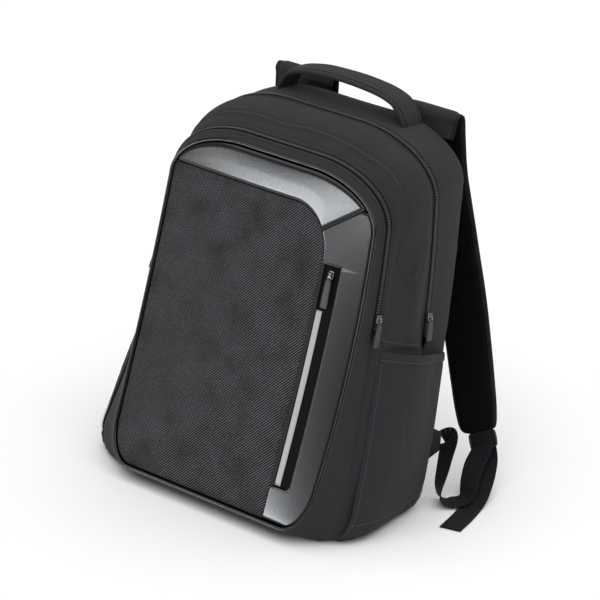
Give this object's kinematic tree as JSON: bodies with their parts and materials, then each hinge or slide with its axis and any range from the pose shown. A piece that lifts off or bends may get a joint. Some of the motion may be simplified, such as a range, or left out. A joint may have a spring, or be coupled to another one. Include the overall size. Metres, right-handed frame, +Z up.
{
  "type": "laptop backpack",
  "caption": "Fabric laptop backpack with a piped front pocket, smooth trim with an upright zip pocket, side pockets, a carry handle and padded shoulder straps.",
  "frame": {"origin": "on the flat base that the bag stands on, under the middle of the bag", "axes": "+Z up; the front of the bag faces -Y; +X is on the right of someone who looks at the front"},
  "size_m": [0.4884, 0.2943, 0.4404],
  "materials": {
    "fabric": "plain woven polyester, matt charcoal",
    "woven_fabric": "ribbed woven nylon, matt dark grey",
    "smooth_trim": "smooth polyurethane leather, soft sheen",
    "zip_tape": "black zip tape and nylon coil",
    "reflective_tape": "light grey reflective tape with a fine printed pattern",
    "slider_metal": "gunmetal plated zinc, glossy",
    "pull_metal": "matt dark grey zinc",
    "strap_mesh": "black spacer mesh over foam",
    "webbing": "black polypropylene webbing",
    "buckle_plastic": "black moulded acetal"
  },
  "bodies": {
    "bag": {"front_gusset": "fabric", "middle_shell": "fabric", "rear_shell": "fabric", "panel_piping": "smooth_trim", "woven_panel": "woven_fabric", "trim_top": "smooth_trim", "trim_side": "smooth_trim", "pocket_flap": "fabric", "zip_pocket": "zip_tape", "reflective_strip": "reflective_tape", "zip_front": "zip_tape", "zip_main": "zip_tape", "slider_front_right": "slider_metal", "slider_front_left": "slider_metal", "slider_main_right": "slider_metal", "slider_main_left": "slider_metal", "slider_pocket": "slider_metal", "side_pocket_right": "fabric", "side_pocket_left": "fabric", "shoulder_strap_right": "strap_mesh", "shoulder_strap_left": "strap_mesh", "webbing_right": "webbing", "webbing_left": "webbing", "buckle_right": "buckle_plastic", "buckle_left": "buckle_plastic", "webbing_tab_right": "fabric", "webbing_tab_left": "fabric", "handle": "fabric"},
    "front_right_pull": {"pull_front_right": "pull_metal"},
    "front_left_pull": {"pull_front_left": "pull_metal"},
    "main_right_pull": {"pull_main_right": "pull_metal"},
    "main_left_pull": {"pull_main_left": "pull_metal"},
    "pocket_pull": {"pull_pocket": "pull_metal"}
  },
  "joints": [
    {"name": "front_right_pull_hinge", "type": "hinge", "parent": "bag", "child": "front_right_pull", "pos_m": [0.16211, 0.00395, 0.23808], "axis": [0, -0.9675, 0.2529], "range_deg": [0, 150]},
    {"name": "front_left_pull_hinge", "type": "hinge", "parent": "bag", "child": "front_left_pull", "pos_m": [-0.16211, 0.00395, 0.23808], "axis": [0, 0.9675, -0.2529], "range_deg": [-8, 140]},
    {"name": "main_right_pull_hinge", "type": "hinge", "parent": "bag", "child": "main_right_pull", "pos_m": [0.16922, 0.07928, 0.21829], "axis": [0, -0.9844, 0.1761], "range_deg": [0, 150]},
    {"name": "main_left_pull_hinge", "type": "hinge", "parent": "bag", "child": "main_left_pull", "pos_m": [-0.1694, 0.07932, 0.21848], "axis": [0, 0.9844, -0.1761], "range_deg": [0, 150]},
    {"name": "pocket_pull_hinge", "type": "hinge", "parent": "bag", "child": "pocket_pull", "pos_m": [0.1029, -0.01024, 0.27704], "axis": [-1, 0, 0], "range_deg": [0, 150]}
  ]
}
